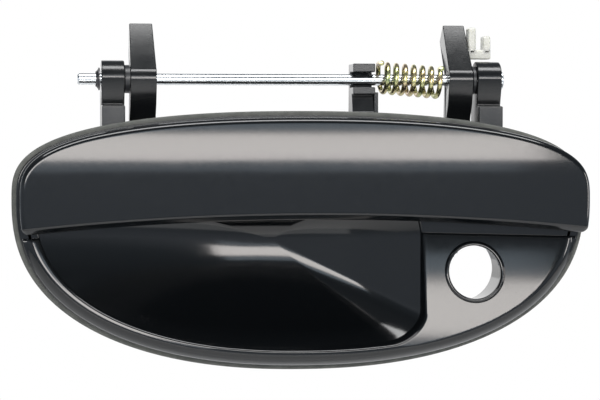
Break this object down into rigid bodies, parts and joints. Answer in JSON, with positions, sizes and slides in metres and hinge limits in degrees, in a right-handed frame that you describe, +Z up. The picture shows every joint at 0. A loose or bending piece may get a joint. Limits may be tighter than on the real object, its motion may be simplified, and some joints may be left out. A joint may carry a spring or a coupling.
{
  "type": "exterior car door pull handle",
  "caption": "Oval exterior car door handle with a glossy pull grip on two bell-crank arms, a sprung hinge rod, a finger pocket and a lock hole.",
  "frame": {"origin": "middle of the oval, on the outer face of the door skin, which is the rear face of the seal", "axes": "+X to the right as seen from outside the car, +Y into the door, +Z up"},
  "size_m": [0.2, 0.0387, 0.1204],
  "materials": {
    "gloss_black": "smooth gloss black moulding",
    "seal_rubber": "matte grey-green foam rubber",
    "buffer_rubber": "matte black rubber",
    "bright_zinc": "bright zinc-plated steel",
    "yellow_zinc": "yellow passivated zinc on spring steel",
    "dark_steel": "dark oiled spring steel",
    "bush_nylon": "black nylon",
    "clip_nylon": "natural white nylon, slightly translucent"
  },
  "bodies": {
    "housing": {"bezel_housing": "gloss_black", "door_gasket": "seal_rubber", "pivot_rod": "bright_zinc", "rod_push_nut": "dark_steel", "return_spring": "yellow_zinc", "mounting_stud_left": "bright_zinc", "mounting_stud_right": "bright_zinc", "bumper_left": "buffer_rubber", "bumper_right": "buffer_rubber"},
    "grip": {"paddle": "gloss_black", "hinge_bush_left": "bush_nylon", "hinge_bush_right": "bush_nylon"},
    "rod_clip": {"latch_rod_clip": "clip_nylon"}
  },
  "joints": [
    {"name": "grip_hinge", "type": "hinge", "parent": "housing", "child": "grip", "pos_m": [0, 0.01, 0.0553], "axis": [-1, 0, 0], "range_deg": [0, 28], "stiffness_Nm_per_rad": 0.6, "springref_deg": -34.38, "deforming": ["return_spring"]},
    {"name": "clip_swivel", "type": "hinge", "parent": "grip", "child": "rod_clip", "pos_m": [0.06, 0.0172, 0.0646], "axis": [1, 0, 0], "range_deg": [-20, 20]}
  ]
}
